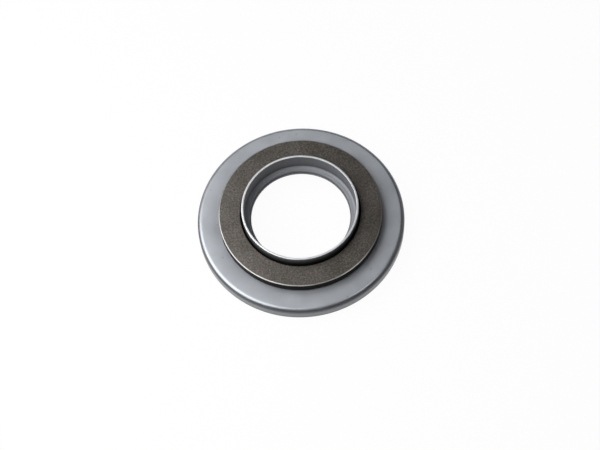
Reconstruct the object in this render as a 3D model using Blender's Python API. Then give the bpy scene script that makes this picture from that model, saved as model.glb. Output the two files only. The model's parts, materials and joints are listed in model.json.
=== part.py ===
"""Covered thrust ball bearing, resting on its lower race with its axis along +Z.

A wide lower race carries a full circle of balls in a pressed cage.  The upper
race lies on the balls and turns about the axis.  A pressed cover is crimped
round the lower race and closes the ball track from outside, and a drawn sleeve
sits in the bore of the upper race and guides the shaft.
"""

import math

import bmesh
import bpy
from mathutils import Matrix

MM = 0.001

# Sleeve in the bore, from the shaft outwards
PILOT_BORE = 42.6 * MM
LEDGE_WIDTH = 2.7 * MM
SLEEVE_SHEET = 1.0 * MM
PUNCH_RADIUS = 1.2 * MM
PUNCH_LIMIT = 0.9  # most of the ledge that the punch radius may take, where the ledge is narrow
PLUNGE_RADIUS = 0.2 * MM
COLLAR_STAND = 4.45 * MM
COLLAR_EDGE = 0.25 * MM
LEDGE_DEPTH = 3.9 * MM
PILOT_DEPTH = 2.15 * MM

# Balls and cage
BALL_DIAMETER = 6.0 * MM
BALL_COUNT = 20
BALL_CLEARANCE = 0.1 * MM
POCKET_CLEARANCE = 0.25 * MM
CAGE_SHEET = 0.7 * MM
CAGE_EDGE = 0.9 * MM
CAGE_RIM = 1.0 * MM
CAGE_RUNNING_GAP = 0.35 * MM

# Races
RACE_WIDTH = 9.9 * MM
UPPER_FLOOR = 3.0 * MM
LOWER_FLOOR = 2.7 * MM
GROOVE_DEPTH = 1.3 * MM
GROOVE_CONFORMITY = 0.54
LOWER_BORE_STEP = 0.9 * MM
RACE_TOP_EDGE = 0.5 * MM
RACE_BORE_EDGE = 0.9 * MM
RACE_INNER_EDGE = 0.4 * MM

# Cover
COVER_SHEET = 1.0 * MM
COVER_OVERHANG = 9.5 * MM
SHOULDER_BEND = 1.2 * MM
CRIMP_BEND = 0.5 * MM
COVER_RUNNING_GAP = 0.4 * MM
CRIMP_ANGLE = 50.0
SKIRT_LIFT = 0.5 * MM

# Gap between pressed-together pieces
FIT_GAP = 0.1 * MM

# Facets
RING_STEPS = 3 * BALL_COUNT
GROOVE_STEPS = 8
BEND_STEPS = 4
BALL_SEGMENTS = 12
BALL_RINGS = 8
POCKET_SEGMENTS = 16
WELD = 0.001 * MM
SMOOTH_BELOW = 40.0

# Radii, from the bore outwards
pilot_radius = PILOT_BORE / 2
collar_inner = pilot_radius + LEDGE_WIDTH
collar_outer = collar_inner + SLEEVE_SHEET
race_bore = collar_outer + FIT_GAP
race_outer = race_bore + RACE_WIDTH
pitch_radius = (race_bore + race_outer) / 2
ball_radius = BALL_DIAMETER / 2
groove_radius = GROOVE_CONFORMITY * BALL_DIAMETER
groove_half_width = math.sqrt(GROOVE_DEPTH * (2 * groove_radius - GROOVE_DEPTH))
pocket_radius = ball_radius + POCKET_CLEARANCE
cutter_depth = 2 * CAGE_RIM + CAGE_SHEET
cage_outer = pitch_radius + pocket_radius + CAGE_EDGE
cage_inner = pitch_radius - pocket_radius - CAGE_EDGE
cover_opening = cage_outer + CAGE_RUNNING_GAP
cover_outer = race_outer + COVER_OVERHANG
cover_inner = cover_outer - COVER_SHEET
lower_bore = race_bore + LOWER_BORE_STEP
lower_outer = cover_inner - FIT_GAP
rim_inner = cover_opening + CAGE_RUNNING_GAP

# Heights, from the seat upwards
lower_land = LOWER_FLOOR + GROOVE_DEPTH
ball_height = LOWER_FLOOR + BALL_CLEARANCE + ball_radius
upper_apex = ball_height + ball_radius + BALL_CLEARANCE
upper_land = upper_apex - GROOVE_DEPTH
thrust_face = upper_apex + UPPER_FLOOR
cover_top = upper_land - COVER_RUNNING_GAP
cover_under = cover_top - COVER_SHEET
rim_top = cover_under - FIT_GAP
collar_top = thrust_face + COLLAR_STAND
ledge_top = thrust_face - LEDGE_DEPTH
pilot_bottom = ledge_top - PILOT_DEPTH


def clear_scene():
    for old in list(bpy.data.objects):
        bpy.data.objects.remove(old)


def steel(name, colour, roughness):
    material = bpy.data.materials.new(name)
    material.use_nodes = True
    shader = material.node_tree.nodes["Principled BSDF"]
    shader.inputs["Base Color"].default_value = (*colour, 1.0)
    shader.inputs["Roughness"].default_value = roughness
    shader.inputs["Metallic"].default_value = 1.0
    return material


def frame_on_axis(name, height):
    """An empty on the bearing's axis, which carries the pieces that move together."""
    empty = bpy.data.objects.new(name, None)
    empty.location = (0.0, 0.0, height)
    bpy.context.scene.collection.objects.link(empty)
    return empty


def place(name, mesh, material, parent):
    """Links a mesh whose points are given from the seat upwards under its empty."""
    mesh.materials.append(material)
    mesh.shade_smooth()
    mesh.set_sharp_from_angle(angle=math.radians(SMOOTH_BELOW))
    piece = bpy.data.objects.new(name, mesh)
    bpy.context.scene.collection.objects.link(piece)
    piece.parent = parent
    piece.location = -parent.location
    return piece


def arc(centre, radius, start, end, steps):
    """Points along an arc in the radius and height plane, both ends included, angles in degrees."""
    points = []
    for step in range(steps + 1):
        angle = math.radians(start + (end - start) * step / steps)
        points.append((centre[0] + radius * math.cos(angle), centre[1] + radius * math.sin(angle)))
    return points


def turned(name, profile):
    """A ring made by turning a closed profile of (radius, height) points about the axis."""
    shape = bmesh.new()
    points = [shape.verts.new((radius, 0.0, height)) for radius, height in profile]
    outline = [shape.edges.new((a, b)) for a, b in zip(points, points[1:] + points[:1])]
    bmesh.ops.spin(
        shape,
        geom=points + outline,
        cent=(0.0, 0.0, 0.0),
        axis=(0.0, 0.0, 1.0),
        angle=math.tau,
        steps=RING_STEPS,
        use_merge=True,
    )
    bmesh.ops.remove_doubles(shape, verts=shape.verts, dist=WELD)
    bmesh.ops.recalc_face_normals(shape, faces=shape.faces)
    mesh = bpy.data.meshes.new(name)
    shape.to_mesh(mesh)
    shape.free()
    return mesh


def groove(apex, opens_up):
    """Groove points from the bore side to the rim side."""
    half_angle = math.degrees(math.asin(groove_half_width / groove_radius))
    if opens_up:
        centre = (pitch_radius, apex + groove_radius)
        return arc(centre, groove_radius, 270 - half_angle, 270 + half_angle, GROOVE_STEPS)
    centre = (pitch_radius, apex - groove_radius)
    return arc(centre, groove_radius, 90 + half_angle, 90 - half_angle, GROOVE_STEPS)


def upper_race_profile():
    return [
        (race_bore + RACE_INNER_EDGE, upper_land),
        *groove(upper_apex, opens_up=False),
        (race_outer - RACE_INNER_EDGE, upper_land),
        (race_outer, upper_land + RACE_INNER_EDGE),
        (race_outer, thrust_face - RACE_TOP_EDGE),
        (race_outer - RACE_TOP_EDGE, thrust_face),
        (race_bore + RACE_BORE_EDGE, thrust_face),
        (race_bore, thrust_face - RACE_BORE_EDGE),
        (race_bore, upper_land + RACE_INNER_EDGE),
    ]


def shoulder_centre():
    """Centre of the cover's upper bend, which the rim of the lower race shares."""
    return (cover_inner - SHOULDER_BEND, cover_under - SHOULDER_BEND)


def crimp_centre():
    """Centre of the cover's lower bend, which the corner of the lower race shares."""
    drop = (CRIMP_BEND + COVER_SHEET) * math.sin(math.radians(CRIMP_ANGLE))
    return (cover_inner - CRIMP_BEND, SKIRT_LIFT + drop)


def lower_race_profile():
    corner = arc(crimp_centre(), CRIMP_BEND - FIT_GAP, 0, -CRIMP_ANGLE, BEND_STEPS)
    corner_radius, corner_height = corner[-1]
    seat_outer = corner_radius - corner_height * math.tan(math.radians(CRIMP_ANGLE))
    return [
        (lower_bore + RACE_INNER_EDGE, 0.0),
        (seat_outer, 0.0),
        *reversed(corner),
        *arc(shoulder_centre(), SHOULDER_BEND - FIT_GAP, 0, 90, BEND_STEPS),
        (rim_inner, rim_top),
        (rim_inner, lower_land),
        *reversed(groove(LOWER_FLOOR, opens_up=True)),
        (lower_bore + RACE_INNER_EDGE, lower_land),
        (lower_bore, lower_land - RACE_INNER_EDGE),
        (lower_bore, RACE_INNER_EDGE),
    ]


def cover_profile():
    return [
        (cover_opening, cover_top),
        *arc(shoulder_centre(), SHOULDER_BEND + COVER_SHEET, 90, 0, 2 * BEND_STEPS),
        *arc(crimp_centre(), CRIMP_BEND + COVER_SHEET, 0, -CRIMP_ANGLE, BEND_STEPS),
        *arc(crimp_centre(), CRIMP_BEND, -CRIMP_ANGLE, 0, BEND_STEPS),
        *arc(shoulder_centre(), SHOULDER_BEND, 0, 90, BEND_STEPS),
        (cover_opening, cover_under),
    ]


def sleeve_profile():
    plunge_outer = PLUNGE_RADIUS + SLEEVE_SHEET
    punch = min(PUNCH_RADIUS, PUNCH_LIMIT * (LEDGE_WIDTH - plunge_outer))
    corner = (collar_inner - punch, ledge_top + punch)
    lip = (pilot_radius + plunge_outer, ledge_top - plunge_outer)
    return [
        (collar_outer - COLLAR_EDGE, collar_top),
        (collar_outer, collar_top - COLLAR_EDGE),
        *arc(corner, punch + SLEEVE_SHEET, 0, -90, BEND_STEPS),
        *arc(lip, PLUNGE_RADIUS, 90, 180, BEND_STEPS),
        (pilot_radius + SLEEVE_SHEET, pilot_bottom),
        (pilot_radius, pilot_bottom),
        *arc(lip, plunge_outer, 180, 90, BEND_STEPS),
        *arc(corner, punch, -90, 0, BEND_STEPS),
        (collar_inner, collar_top - COLLAR_EDGE),
        (collar_inner + COLLAR_EDGE, collar_top),
    ]


def cage_profile():
    """Flat web at ball height, its inner edge turned up and its outer edge turned down."""
    web_top = ball_height + CAGE_SHEET / 2
    web_under = ball_height - CAGE_SHEET / 2
    return [
        (cage_inner, web_under),
        (cage_outer - CAGE_SHEET, web_under),
        (cage_outer - CAGE_SHEET, ball_height - CAGE_RIM),
        (cage_outer, ball_height - CAGE_RIM),
        (cage_outer, web_top),
        (cage_inner + CAGE_SHEET, web_top),
        (cage_inner + CAGE_SHEET, ball_height + CAGE_RIM),
        (cage_inner, ball_height + CAGE_RIM),
    ]


def ball_angle(index):
    return math.tau * index / BALL_COUNT


def pocket_cutter():
    """One helper that holds a cylinder for each ball pocket."""
    shape = bmesh.new()
    for index in range(BALL_COUNT):
        angle = ball_angle(index)
        centre = (pitch_radius * math.cos(angle), pitch_radius * math.sin(angle), ball_height)
        bmesh.ops.create_cone(
            shape,
            cap_ends=True,
            segments=POCKET_SEGMENTS,
            radius1=pocket_radius,
            radius2=pocket_radius,
            depth=cutter_depth,
            matrix=Matrix.Translation(centre) @ Matrix.Rotation(angle, 4, "Z"),
        )
    mesh = bpy.data.meshes.new("pocket_cutter")
    shape.to_mesh(mesh)
    shape.free()
    cutter = bpy.data.objects.new("pocket_cutter", mesh)
    bpy.context.scene.collection.objects.link(cutter)
    cutter.hide_render = True
    cutter.display_type = "WIRE"
    return cutter


def cut_pockets(cage):
    cut = cage.modifiers.new("ball pockets", "BOOLEAN")
    cut.operation = "DIFFERENCE"
    cut.object = pocket_cutter()


def ball_mesh():
    """A ball with its poles on local X, the line about which it rolls."""
    shape = bmesh.new()
    bmesh.ops.create_uvsphere(
        shape,
        u_segments=BALL_SEGMENTS,
        v_segments=BALL_RINGS,
        radius=ball_radius,
        matrix=Matrix.Rotation(math.radians(90), 4, "Y"),
    )
    mesh = bpy.data.meshes.new("ball")
    shape.to_mesh(mesh)
    shape.free()
    mesh.shade_smooth()
    return mesh


def add_balls(material, carrier):
    mesh = ball_mesh()
    mesh.materials.append(material)
    for index in range(BALL_COUNT):
        angle = ball_angle(index)
        ball = bpy.data.objects.new(f"ball_{index + 1:02d}", mesh)
        bpy.context.scene.collection.objects.link(ball)
        ball.parent = carrier
        ball.location = (pitch_radius * math.cos(angle), pitch_radius * math.sin(angle), 0.0)
        ball.rotation_euler = (0.0, 0.0, angle)


def main():
    clear_scene()
    zinc_plate = steel("zinc plated steel", (0.60, 0.61, 0.64), 0.38)
    dark_steel = steel("dark phosphated steel", (0.12, 0.11, 0.10), 0.60)
    cage_steel = steel("bright cage steel", (0.55, 0.54, 0.52), 0.35)
    ball_steel = steel("polished ball steel", (0.66, 0.66, 0.67), 0.08)

    housing = frame_on_axis("housing_frame", 0.0)
    rotor = frame_on_axis("rotor_frame", upper_land)
    carrier = frame_on_axis("ball_carrier_frame", ball_height)

    place("lower_race", turned("lower_race", lower_race_profile()), dark_steel, housing)
    place("outer_cover", turned("outer_cover", cover_profile()), zinc_plate, housing)
    place("upper_race", turned("upper_race", upper_race_profile()), dark_steel, rotor)
    place("inner_sleeve", turned("inner_sleeve", sleeve_profile()), zinc_plate, rotor)
    cage = place("ball_cage", turned("ball_cage", cage_profile()), cage_steel, carrier)
    cut_pockets(cage)
    add_balls(ball_steel, carrier)


main()
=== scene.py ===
import bmesh
import bpy
import json
import math
from mathutils import Matrix, Vector


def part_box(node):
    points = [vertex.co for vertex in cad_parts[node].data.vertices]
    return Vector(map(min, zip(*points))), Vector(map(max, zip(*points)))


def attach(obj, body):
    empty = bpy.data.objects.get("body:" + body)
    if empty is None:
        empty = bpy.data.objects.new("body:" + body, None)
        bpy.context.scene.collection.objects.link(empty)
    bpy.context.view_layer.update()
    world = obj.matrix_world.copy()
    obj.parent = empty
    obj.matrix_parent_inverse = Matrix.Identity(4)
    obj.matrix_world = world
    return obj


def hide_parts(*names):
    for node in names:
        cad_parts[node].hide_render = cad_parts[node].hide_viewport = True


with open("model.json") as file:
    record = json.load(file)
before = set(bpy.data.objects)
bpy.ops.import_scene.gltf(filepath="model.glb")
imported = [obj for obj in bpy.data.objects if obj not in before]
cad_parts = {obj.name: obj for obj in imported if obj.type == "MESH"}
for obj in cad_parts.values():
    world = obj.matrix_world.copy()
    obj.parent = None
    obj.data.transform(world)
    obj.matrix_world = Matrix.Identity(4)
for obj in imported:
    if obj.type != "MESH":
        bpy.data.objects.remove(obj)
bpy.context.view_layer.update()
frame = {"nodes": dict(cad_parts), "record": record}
scene = bpy.context.scene
scene.view_settings.view_transform = "Standard"
mm = 0.001
print("frame loaded:", len(frame["nodes"]), "nodes")


# Turns an sRGB hex value to linear colour
def hexColour(text):
    parts = [int(text[i:i + 2], 16) / 255 for i in (1, 3, 5)]
    return [*(c / 12.92 if c <= 0.04045 else ((c + 0.055) / 1.055) ** 2.4 for c in parts), 1.0]


def perMm(size):
    return 1000 / size  # pattern scale whose features are about this many millimetres across


# Adds a node: each input is a link or a constant, stops fill a colour ramp, and the rest are properties
def addNode(tree, kind, inputs, stops=None, **properties):
    node = tree.nodes.new(kind)
    for key, value in properties.items():
        setattr(node, key, value)
    for key, value in inputs.items():
        if isinstance(value, bpy.types.NodeSocket):
            tree.links.new(value, node.inputs[key])
        else:
            node.inputs[key].default_value = value
    if stops:
        elements = node.color_ramp.elements
        while len(elements) < len(stops):
            elements.new(0.5)  # its real place is set below
        for element, (place, colour) in zip(elements, stops):
            element.position = place
            element.color = hexColour(colour)
    return node.outputs


def newMaterial(name):
    material = bpy.data.materials.new(name)
    material.use_nodes = True
    tree = material.node_tree
    return material, tree, tree.nodes["Principled BSDF"]


noiseLow, noiseHigh = 0.3, 0.7  # nearly all values of a noise lie between these
octaves = {"cloud": 4.0, "grain": 3.0, "lines": 2.0, "speck": 5.0, "blotch": 3.0, "toneAndShade": 3.0}


# Zinc-plated sheet steel, drawn in a press: satin silver-grey, faintly cloudy, with fine draw lines round the axis,
# a few dark flecks, and painted shade that darkens it by height, with some bands left lighter as painted light
def zincPlatedSheet(name, look):
    material, tree, shader = newMaterial(name)
    where = addNode(tree, "ShaderNodeTexCoord", {})["Object"]
    cloud = addNode(tree, "ShaderNodeTexNoise", {"Vector": where, "Scale": perMm(look["cloudMm"]),
                                                 "Detail": octaves["cloud"]})["Fac"]
    grain = addNode(tree, "ShaderNodeTexNoise", {"Vector": where, "Scale": perMm(look["grainMm"]),
                                                 "Detail": octaves["grain"]})["Fac"]
    xyz = addNode(tree, "ShaderNodeSeparateXYZ", {"Vector": where})
    flat = addNode(tree, "ShaderNodeCombineXYZ", {"X": xyz["X"], "Y": xyz["Y"]})["Vector"]
    radius = addNode(tree, "ShaderNodeVectorMath", {0: flat}, operation="LENGTH")["Value"]
    turned = addNode(tree, "ShaderNodeCombineXYZ", {"X": radius, "Y": xyz["Z"]})["Vector"]
    lines = addNode(tree, "ShaderNodeTexNoise", {"Vector": turned, "Scale": perMm(look["lineMm"]),
                                                 "Detail": octaves["lines"]})["Fac"]
    clean = addNode(tree, "ShaderNodeValToRGB", {"Fac": cloud},
                    stops=[(noiseLow, look["dark"]), (noiseHigh, look["light"])])["Color"]
    level = addNode(tree, "ShaderNodeMapRange", {"Value": xyz["Z"], "From Max": look["rampTop"] * mm})["Result"]
    # painted shade and light by height: the grey given for each height multiplies the colour
    toneAndShade = addNode(tree, "ShaderNodeValToRGB", {"Fac": level},
                   stops=[(height / look["rampTop"], grey) for height, grey in look["toneAndShade"]])["Color"]
    shadedColour = addNode(tree, "ShaderNodeMix", {0: 1.0, 6: clean, 7: toneAndShade}, data_type="RGBA", blend_type="MULTIPLY")[2]
    spots = addNode(tree, "ShaderNodeTexVoronoi", {"Vector": where, "Scale": perMm(look["fleckApartMm"])})["Distance"]
    reach = look["fleckMm"] / look["fleckApartMm"]  # a fleck fades out over its outer half
    fleck = addNode(tree, "ShaderNodeMapRange", {"Value": spots, "From Min": reach / 2, "From Max": reach,
                                                 "To Min": look["fleckShade"]})["Result"]
    colour = addNode(tree, "ShaderNodeMix", {0: 1.0, 6: shadedColour, 7: fleck}, data_type="RGBA", blend_type="MULTIPLY")[2]
    low, high = look["roughness"]
    rough = addNode(tree, "ShaderNodeMapRange", {"Value": cloud, "From Min": noiseLow, "From Max": noiseHigh,
                                                 "To Min": low, "To Max": high})["Result"]
    drawn = addNode(tree, "ShaderNodeBump", {"Height": lines, "Strength": look["lineBump"],
                                             "Distance": look["lineDeepMm"] * mm})["Normal"]
    skin = addNode(tree, "ShaderNodeBump", {"Height": grain, "Normal": drawn, "Strength": look["grainBump"],
                                            "Distance": look["grainDeepMm"] * mm})["Normal"]
    tree.links.new(colour, shader.inputs["Base Color"])
    tree.links.new(rough, shader.inputs["Roughness"])
    tree.links.new(skin, shader.inputs["Normal"])
    if "burnish" in look:
        bare = addNode(tree, "ShaderNodeValToRGB", {"Fac": level},
                       stops=[(height / look["rampTop"], grey) for height, grey in look["burnish"]])["Color"]
        tree.links.new(bare, shader.inputs["Metallic"])
    else:
        shader.inputs["Metallic"].default_value = look["metallic"]
    return material


# Phosphated steel: a matte, warm grey-brown skin of fine crystals, speckled pale and dark
def phosphatedSteel(name, look):
    material, tree, shader = newMaterial(name)
    where = addNode(tree, "ShaderNodeTexCoord", {})["Object"]
    speck = addNode(tree, "ShaderNodeTexNoise", {"Vector": where, "Scale": perMm(look["speckMm"]),
                                                 "Detail": octaves["speck"], "Roughness": look["speckGrit"]})["Fac"]
    blotch = addNode(tree, "ShaderNodeTexNoise", {"Vector": where, "Scale": perMm(look["blotchMm"]),
                                                  "Detail": octaves["blotch"]})["Fac"]
    fine = addNode(tree, "ShaderNodeValToRGB", {"Fac": speck}, stops=look["specks"])["Color"]
    wide = addNode(tree, "ShaderNodeValToRGB", {"Fac": blotch},
                   stops=[(noiseLow, look["shade"]), (noiseHigh, look["tint"])])["Color"]
    colour = addNode(tree, "ShaderNodeMix", {0: 1.0, 6: fine, 7: wide}, data_type="RGBA", blend_type="MULTIPLY")[2]
    low, high = look["roughness"]
    rough = addNode(tree, "ShaderNodeMapRange", {"Value": speck, "From Min": noiseLow, "From Max": noiseHigh,
                                                 "To Min": low, "To Max": high})["Result"]
    bump = addNode(tree, "ShaderNodeBump", {"Height": speck, "Strength": look["bump"],
                                            "Distance": look["speckDeepMm"] * mm})["Normal"]
    tree.links.new(colour, shader.inputs["Base Color"])
    tree.links.new(rough, shader.inputs["Roughness"])
    tree.links.new(bump, shader.inputs["Normal"])
    shader.inputs["Metallic"].default_value = look["metallic"]
    return material


# Plain metal, rubbed, pressed or polished, and also near-black painted shade and a pale painted highlight: hardly any
# pattern, only small changes of tone and gloss
def plainSteel(name, look):
    material, tree, shader = newMaterial(name)
    where = addNode(tree, "ShaderNodeTexCoord", {})["Object"]
    toneAndShade = addNode(tree, "ShaderNodeTexNoise", {"Vector": where, "Scale": perMm(look["filmMm"]),
                                                "Detail": octaves["toneAndShade"]})["Fac"]
    colour = addNode(tree, "ShaderNodeValToRGB", {"Fac": toneAndShade},
                     stops=[(noiseLow, look["dark"]), (noiseHigh, look["light"])])["Color"]
    low, high = look["roughness"]
    rough = addNode(tree, "ShaderNodeMapRange", {"Value": toneAndShade, "From Min": noiseLow, "From Max": noiseHigh,
                                                 "To Min": low, "To Max": high})["Result"]
    tree.links.new(colour, shader.inputs["Base Color"])
    tree.links.new(rough, shader.inputs["Roughness"])
    shader.inputs["Metallic"].default_value = look["metallic"]
    return material


# Points of an arc from one angle to another, in degrees
def arc(centre, radius, start, end, steps):
    angles = [math.radians(start + (end - start) * i / steps) for i in range(steps + 1)]
    return [(centre[0] + radius * math.cos(a), centre[1] + radius * math.sin(a)) for a in angles]


# All turned rings: steps round the axis, angle from which an edge is sharp, and the small rounding of sheet edges
turning = {"steps": 240, "sharpFrom": 38, "edge": 0.12, "edgeSteps": 3, "merge": 0.001}


# Turns a closed outline of (radius, height) points in millimetres round the axis
def turnRing(name, outline, materials, body, node, pick=None):
    shape = bmesh.new()
    points = [shape.verts.new((r * mm, 0, z * mm)) for r, z in outline]
    loop = [shape.edges.new(pair) for pair in zip(points, points[1:] + points[:1])]
    bmesh.ops.spin(shape, geom=points + loop, cent=(0, 0, 0), axis=(0, 0, 1), angle=math.tau,
                   steps=turning["steps"], use_merge=True)
    bmesh.ops.remove_doubles(shape, verts=shape.verts, dist=turning["merge"] * mm)
    bmesh.ops.recalc_face_normals(shape, faces=shape.faces)
    mesh = bpy.data.meshes.new(name)
    for material in materials:
        mesh.materials.append(material)
    for face in shape.faces:
        middle = face.calc_center_median() / mm
        face.material_index = materials.index(pick(math.hypot(middle.x, middle.y), middle.z)) if pick else 0
    shape.to_mesh(mesh)
    shape.free()
    mesh.shade_smooth()
    mesh.set_sharp_from_angle(angle=math.radians(turning["sharpFrom"]))
    ring = bpy.data.objects.new(name, mesh)
    scene.collection.objects.link(ring)
    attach(ring, body)
    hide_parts(node)


def boxMm(node):
    low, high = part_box(node)
    return high[0] / mm, low[2] / mm, high[2] / mm  # outer radius, bottom, top


# What the cover and the sleeve share. Real plating grain and draw lines are finer: both are drawn coarse to show.
zincLook = {"cloudMm": 9, "grainMm": 0.3, "grainBump": 0.05, "grainDeepMm": 0.03, "lineMm": 0.7, "lineDeepMm": 0.02,
            "fleckApartMm": 5, "fleckMm": 0.5, "fleckShade": 0.72}

# Cover: flat top, rounded shoulder rubbed bright, and a skirt darkened by painted shade, with its foot rolled in
# under the lower race.
# Heights in millimetres carry a grey each: in the first list it darkens the colour as painted shade (the foot, the
# skirt and a dark band where the shoulder meets the skirt), in burnish it is the share of bare metal.
coverLook = {
    **zincLook, "dark": "#a6aab0", "light": "#b3b7bd", "roughness": (0.34, 0.42), "lineBump": 0.04, "rampTop": 8.0,
    "toneAndShade": [(0.4, "#606060"), (1.2, "#909090"), (2.4, "#b6b6b6"), (4.2, "#c4c4c4"),
             (5.4, "#a2a2a2"), (5.9, "#868686"), (6.45, "#868686"), (6.85, "#ffffff")],
    "burnish": [(6.45, "#959595"), (6.7, "#e8e8e8"), (7.08, "#e8e8e8"), (7.17, "#959595")],
}
cover = {"sheet": 1.0, "shoulder": 1.2, "shoulderSteps": 20, "insideSteps": 8, "bend": 0.5, "crimp": 50,
         "footSteps": 8, "bendSteps": 6, "gap": 0.35}
cageRadius = boxMm("ball_cage")[0]
coverRadius, coverLow, coverTop = boxMm("outer_cover")
shoulderOuter, footOuter = cover["shoulder"] + cover["sheet"], cover["bend"] + cover["sheet"]
shoulderAt = (coverRadius - shoulderOuter, coverTop - shoulderOuter)
footAt = (coverRadius - footOuter, coverLow + footOuter * math.sin(math.radians(cover["crimp"])))
zincCover = zincPlatedSheet("zinc_plate_pressed", coverLook)


def coverOutline():
    edge, hole, under = turning["edge"], cageRadius + cover["gap"], coverTop - cover["sheet"]
    return [
        *arc((hole + edge, coverTop - edge), edge, 180, 90, turning["edgeSteps"]),
        *arc(shoulderAt, shoulderOuter, 90, 0, cover["shoulderSteps"]),
        *arc(footAt, footOuter, 0, -cover["crimp"], cover["footSteps"]),
        *arc(footAt, cover["bend"], -cover["crimp"], 0, cover["bendSteps"]),
        *arc(shoulderAt, cover["shoulder"], 0, 90, cover["insideSteps"]),
        *arc((hole + edge, under + edge), edge, 270, 180, turning["edgeSteps"]),
    ]


turnRing("cover_shell", coverOutline(), [zincCover], "housing", "outer_cover")
print("cover turned")

# Sleeve: collar with a rounded lip, a ledge inside it and a plunged pilot hole. Its plating is duller than the
# cover's, painted shade and light make bands inside the collar, painted shade darkens the collar's outside towards
# its foot, and the lip is painted pale as a painted highlight.
sleeveLook = {
    **zincLook, "dark": "#a1a4aa", "light": "#adb0b6", "roughness": (0.55, 0.65), "metallic": 0.1, "lineBump": 0.02,
    "rampTop": 17.0,
    # painted shade and light: dark lines at the pilot's foot and at the ledge's inner edge, the ledge left lighter,
    # and the bore wall above it darker
    "toneAndShade": [(5.9, "#707070"), (6.6, "#d0d0d0"), (7.3, "#6c6c6c"), (7.8, "#bcbcbc"), (8.05, "#e0e0e0"),
             (8.5, "#e0e0e0"), (9.0, "#868686"), (10.0, "#969696"), (14.6, "#989898")],
}
# painted shade: the collar's outside near black at its foot, lighter towards the lip
collarShadeLook = {**sleeveLook, "toneAndShade": [(11.9, "#202020"), (13.4, "#484848"), (15.6, "#909090")]}
# painted highlight: the lip's top painted pale so that it shows as a bright line
lipHighlightLook = {"dark": "#dcdee1", "light": "#e8eaec", "roughness": (0.32, 0.42), "filmMm": 3, "metallic": 0.35}
sleeve = {"sheet": 1.0, "ledge": 2.7, "pilotDepth": 2.15, "punch": 1.2, "punchSteps": 12,
          "plunge": 0.2, "plungeSteps": 5, "bendSteps": 12,
          "lipOuter": 0.5, "lipOuterSteps": 8, "lipInner": 0.15, "lipInnerSteps": 4}
sleeveRadius, pilotLow, lipTop = boxMm("inner_sleeve")
zincSleeve = zincPlatedSheet("zinc_plate_drawn", sleeveLook)
shadedCollar = zincPlatedSheet("zinc_plate_collar_painted_shade", collarShadeLook)
paleLipHighlight = plainSteel("zinc_plate_lip_painted_highlight", lipHighlightLook)


def sleeveOutline():
    sheet, punch, edge = sleeve["sheet"], sleeve["punch"], turning["edge"]
    outer, inner = sleeve["lipOuter"], sleeve["lipInner"]
    inside = sleeveRadius - sheet
    pilot = inside - sleeve["ledge"]
    ledgeTop = pilotLow + sleeve["pilotDepth"]
    bend = sleeve["plunge"] + sheet
    cornerAt = (inside - punch, ledgeTop + punch)
    plungeAt = (pilot + bend, ledgeTop - bend)
    return [
        *arc((sleeveRadius - outer, lipTop - outer), outer, 90, 0, sleeve["lipOuterSteps"]),
        *arc(cornerAt, punch + sheet, 0, -90, sleeve["punchSteps"]),
        *arc(plungeAt, sleeve["plunge"], 90, 180, sleeve["plungeSteps"]),
        *arc((pilot + sheet - edge, pilotLow + edge), edge, 0, -90, turning["edgeSteps"]),
        *arc((pilot + edge, pilotLow + edge), edge, 270, 180, turning["edgeSteps"]),
        *arc(plungeAt, bend, 180, 90, sleeve["bendSteps"]),
        *arc(cornerAt, punch, -90, 0, sleeve["punchSteps"]),
        *arc((inside + inner, lipTop - inner), inner, 180, 90, sleeve["lipInnerSteps"]),
    ]


def sleeveMaterial(radius, height):
    if height > lipTop - sleeve["lipInner"]:
        return paleLipHighlight
    return shadedCollar if radius > sleeveRadius - sleeve["lipOuter"] else zincSleeve


turnRing("sleeve_shell", sleeveOutline(), [zincSleeve, paleLipHighlight, shadedCollar], "rotor", "inner_sleeve",
         sleeveMaterial)
print("sleeve turned")

# Races: ball grooves of the same radius face each other, and the rims are broken by small chamfers. The washer's
# upper edge is rubbed bright, and its side and the bevel round the collar are painted near black as painted shade.
# Real phosphate crystals are far smaller than these specks, which are drawn coarse to show.
raceLook = {"specks": [(0.32, "#3e3a37"), (0.5, "#5e5955"), (0.7, "#847c73")], "shade": "#d8d7d2", "tint": "#ffffff",
            "roughness": (0.52, 0.68), "speckMm": 0.8, "speckGrit": 0.7, "speckDeepMm": 0.05, "blotchMm": 9,
            "metallic": 0.35, "bump": 0.4}
wornLook = {"dark": "#949290", "light": "#aeacaa", "roughness": (0.3, 0.38), "filmMm": 3, "metallic": 0.8}
# painted shade: near-black steel for the washer's side and the bevel round the collar
sideShadeLook = {"dark": "#1c1a19", "light": "#2a2725", "roughness": (0.5, 0.62), "filmMm": 2, "metallic": 1.0}
races = {"fit": 0.1, "press": 0.02, "pitch": 30.05, "ball": 6.0, "conformity": 0.54, "depth": 1.3, "grooveSteps": 20,
         "topEdge": 0.5, "rubbedWide": 0.4, "rubbedDrop": 0.2, "boreEdge": 0.9, "smallEdge": 0.4, "lowerBore": 26.0,
         "rimInner": 0.7, "floor": 2.7, "foot": 0.4}
raceRadius, upperLand, thrustFace = boxMm("upper_race")
seat, rimTop = boxMm("lower_race")[1:]
darkSteel = phosphatedSteel("phosphated_race_steel", raceLook)
wornEdge = plainSteel("race_steel_rubbed_edge", wornLook)
shadedSideSteel = plainSteel("race_steel_painted_shade", sideShadeLook)


# The groove opens upwards with its deepest point at the apex, or downwards
def grooveArc(apex, opensUp):
    radius = races["conformity"] * races["ball"]
    half = math.degrees(math.acos(1 - races["depth"] / radius))
    if opensUp:
        return arc((races["pitch"], apex + radius), radius, 270 + half, 270 - half, races["grooveSteps"])
    return arc((races["pitch"], apex - radius), radius, 90 + half, 90 - half, races["grooveSteps"])


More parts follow.
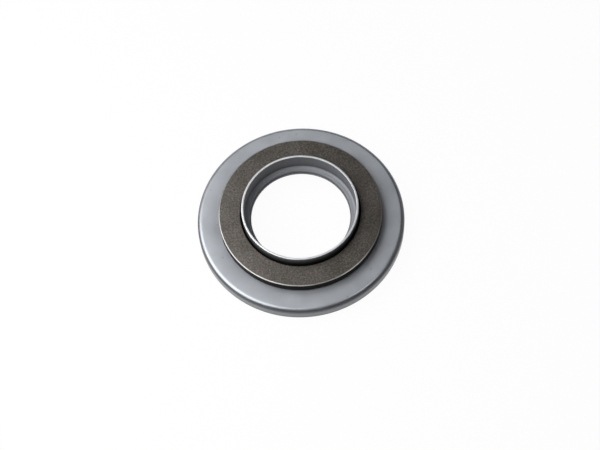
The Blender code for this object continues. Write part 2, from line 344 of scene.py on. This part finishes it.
def upperOutline():
    bore, boreEdge = sleeveRadius - races["press"], races["boreEdge"]
    small, top = races["smallEdge"], races["topEdge"]
    return [
        (bore + small, upperLand),
        *grooveArc(upperLand + races["depth"], False),
        (raceRadius - small, upperLand),
        (raceRadius, upperLand + small),
        (raceRadius, thrustFace - top),
        (raceRadius - top + races["rubbedWide"], thrustFace - races["rubbedDrop"]),
        (raceRadius - top, thrustFace),
        (bore + boreEdge, thrustFace),
        (bore, thrustFace - boreEdge),
        (bore, upperLand + small),
    ]


def lowerOutline():
    bore, small = races["lowerBore"], races["smallEdge"]
    corner = arc(footAt, races["foot"], -cover["crimp"], 0, cover["bendSteps"])
    seatRadius = corner[0][0] - corner[0][1] * math.tan(math.radians(cover["crimp"]))
    rim, land = cageRadius + races["rimInner"], races["floor"] + races["depth"]
    return [
        (bore + small, seat),
        (seatRadius, seat),
        *corner,
        *arc(shoulderAt, cover["shoulder"] - races["fit"], 0, 90, cover["insideSteps"]),
        (rim, rimTop),
        (rim, land),
        *grooveArc(races["floor"], True),
        (bore + small, land),
        (bore, land - small),
        (bore, seat + small),
    ]


def washerMaterial(radius, height):
    boreEdge = sleeveRadius + races["boreEdge"] - races["press"]
    if radius < boreEdge and height < thrustFace:
        return shadedSideSteel  # painted shade on the bevel round the collar's foot
    if radius < raceRadius - races["topEdge"] or height < upperLand + races["smallEdge"]:
        return darkSteel
    # the washer's upper edge is rubbed bright, and its side is painted near black as painted shade
    return wornEdge if height > thrustFace - races["rubbedDrop"] else shadedSideSteel


turnRing("thrust_washer", upperOutline(), [darkSteel, wornEdge, shadedSideSteel], "rotor", "upper_race",
         washerMaterial)
turnRing("seat_washer", lowerOutline(), [darkSteel], "housing", "lower_race")
print("races turned")

# Balls: one fine mesh shared by all, each on the body of its own ball, hardened and polished to a mirror.
# The cage keeps its own solid and gets the look of bare pressed sheet, warm and half bright.
balls = {"around": 40, "rings": 24}
ballLook = {"dark": "#b9babd", "light": "#cfd0d2", "roughness": (0.05, 0.1), "filmMm": 4, "metallic": 1.0}
cageLook = {"dark": "#a09b94", "light": "#b9b5ae", "roughness": (0.28, 0.42), "filmMm": 2, "metallic": 1.0}
ballMesh = bpy.data.meshes.new("polished_ball")
ballShape = bmesh.new()
bmesh.ops.create_uvsphere(ballShape, u_segments=balls["around"], v_segments=balls["rings"],
                          radius=races["ball"] / 2 * mm)
ballShape.to_mesh(ballMesh)
ballShape.free()
ballMesh.shade_smooth()
ballMesh.materials.append(plainSteel("polished_ball_steel", ballLook))
for body, nodes in frame["record"]["behaviour"]["bodies"].items():
    if body.startswith("rolling_"):
        low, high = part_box(nodes[0])
        ball = bpy.data.objects.new("polished_" + nodes[0], ballMesh)
        ball.location = (Vector(low) + Vector(high)) / 2
        scene.collection.objects.link(ball)
        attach(ball, body)
        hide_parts(nodes[0])
bpy.data.objects["ball_cage"].material_slots[0].material = plainSteel("pressed_cage_steel", cageLook)
print("balls placed and cage dressed")

# Camera: looks down on the bearing from the front, a little rolled (degrees, millimetres and pixels)
view = {"elevation": 63.29, "roll": 5.0, "distance": 606.5, "focalPixels": 1400.0, "aim": 0.5,
        "imageWidth": 600, "centre": (301.3, 223.25), "middle": (300, 225), "sensor": 36.0, "nearest": 10}
tilt, roll = math.radians(view["elevation"]), math.radians(view["roll"])
back = Vector((0, -math.cos(tilt), math.sin(tilt)))
level, rise = Vector((1, 0, 0)), Vector((0, math.sin(tilt), math.cos(tilt)))
right = math.cos(roll) * level - math.sin(roll) * rise
up = math.sin(roll) * level + math.cos(roll) * rise
lens = bpy.data.cameras.new("bench_camera")
lens.sensor_fit = "HORIZONTAL"
lens.sensor_width = view["sensor"]
lens.lens = view["focalPixels"] / view["imageWidth"] * view["sensor"]
lens.shift_x = (view["middle"][0] - view["centre"][0]) / view["imageWidth"]
lens.shift_y = (view["centre"][1] - view["middle"][1]) / view["imageWidth"]
lens.clip_start = view["nearest"] * mm
camera = bpy.data.objects.new("bench_camera", lens)
place = back * view["distance"] * mm + Vector((0, 0, view["aim"] * mm))
camera.matrix_world = Matrix.Translation(place) @ Matrix((right, up, back)).transposed().to_4x4()
scene.collection.objects.link(camera)
scene.camera = camera

# Floor: matte white paper that still takes the bearing's shadow, so wide that low views don't reach its end.
# It is seen and mirrored as nearly plain white, and lights the bearing only as paper does.
floor = {"size": 40.0, "colour": "#f4f4f4", "roughness": 0.9, "white": 0.96}
half = floor["size"] / 2
floorMesh = bpy.data.meshes.new("paper_floor")
floorMesh.from_pydata([(-half, -half, 0), (half, -half, 0), (half, half, 0), (-half, half, 0)], [], [(0, 1, 2, 3)])
paper, tree, shader = newMaterial("white_paper")
shader.inputs["Base Color"].default_value = hexColour(floor["colour"])
shader.inputs["Roughness"].default_value = floor["roughness"]
rays = addNode(tree, "ShaderNodeLightPath", {})
seen = addNode(tree, "ShaderNodeMath", {0: rays["Is Camera Ray"], 1: rays["Is Glossy Ray"]}, operation="MAXIMUM")
seen = addNode(tree, "ShaderNodeMath", {0: seen[0], 1: rays["Is Transmission Ray"]}, operation="MAXIMUM")
share = addNode(tree, "ShaderNodeMath", {0: seen[0], 1: floor["white"]}, operation="MULTIPLY")
glow = addNode(tree, "ShaderNodeEmission", {"Strength": 1.0})  # 1 is plain white
paperMix = addNode(tree, "ShaderNodeMixShader", {0: share[0], 1: shader.outputs[0], 2: glow[0]})
tree.links.new(paperMix[0], tree.nodes["Material Output"].inputs["Surface"])
floorMesh.materials.append(paper)
floorPiece = bpy.data.objects.new("paper_floor", floorMesh)
scene.collection.objects.link(floorPiece)

# Room: a pale ceiling overhead, a little towards the back, and dim walls, all of it weaker towards the right
room = {"colour": "#ffffff", "walls": 0.05, "ceiling": 0.42, "axis": (-0.1, 0.25, 0.96), "from": 0.45, "to": 0.75,
        "left": -0.18, "leftShare": 1.0, "right": 0.3, "rightShare": 0.1}
world = bpy.data.worlds.new("studio_room")
scene.world = world
world.use_nodes = True
tree = world.node_tree
towards = addNode(tree, "ShaderNodeTexCoord", {})["Generated"]
height = addNode(tree, "ShaderNodeVectorMath", {0: towards, 1: room["axis"]}, operation="DOT_PRODUCT")["Value"]
ceiling = addNode(tree, "ShaderNodeMapRange", {"Value": height, "From Min": room["from"], "From Max": room["to"],
                                               "To Min": room["walls"], "To Max": room["ceiling"]})["Result"]
across = addNode(tree, "ShaderNodeSeparateXYZ", {"Vector": towards})["X"]
side = addNode(tree, "ShaderNodeMapRange", {"Value": across, "From Min": room["left"], "From Max": room["right"],
                                            "To Min": room["leftShare"], "To Max": room["rightShare"]})["Result"]
strength = addNode(tree, "ShaderNodeMath", {0: ceiling, 1: side}, operation="MULTIPLY")
background = tree.nodes["Background"]
background.inputs["Color"].default_value = hexColour(room["colour"])
tree.links.new(strength[0], background.inputs["Strength"])

# Lamps, in metres: a near, soft window on the left, and a weak lamp on the right that picks out the shoulder
lamps = {
    "window_left": {"place": (-0.203, -0.01, 0.222), "size": 0.37, "watts": 1.2},
    "lamp_right": {"place": (0.222, -0.117, 0.43), "size": 0.1, "watts": 0.2},
}
for name, lamp in lamps.items():
    light = bpy.data.lights.new(name, "AREA")
    light.size = lamp["size"]
    light.energy = lamp["watts"]
    lampObject = bpy.data.objects.new(name, light)
    lampObject.location = lamp["place"]
    lampObject.rotation_euler = (-Vector(lamp["place"])).to_track_quat("-Z", "Y").to_euler()
    scene.collection.objects.link(lampObject)
print("camera, floor and light set")
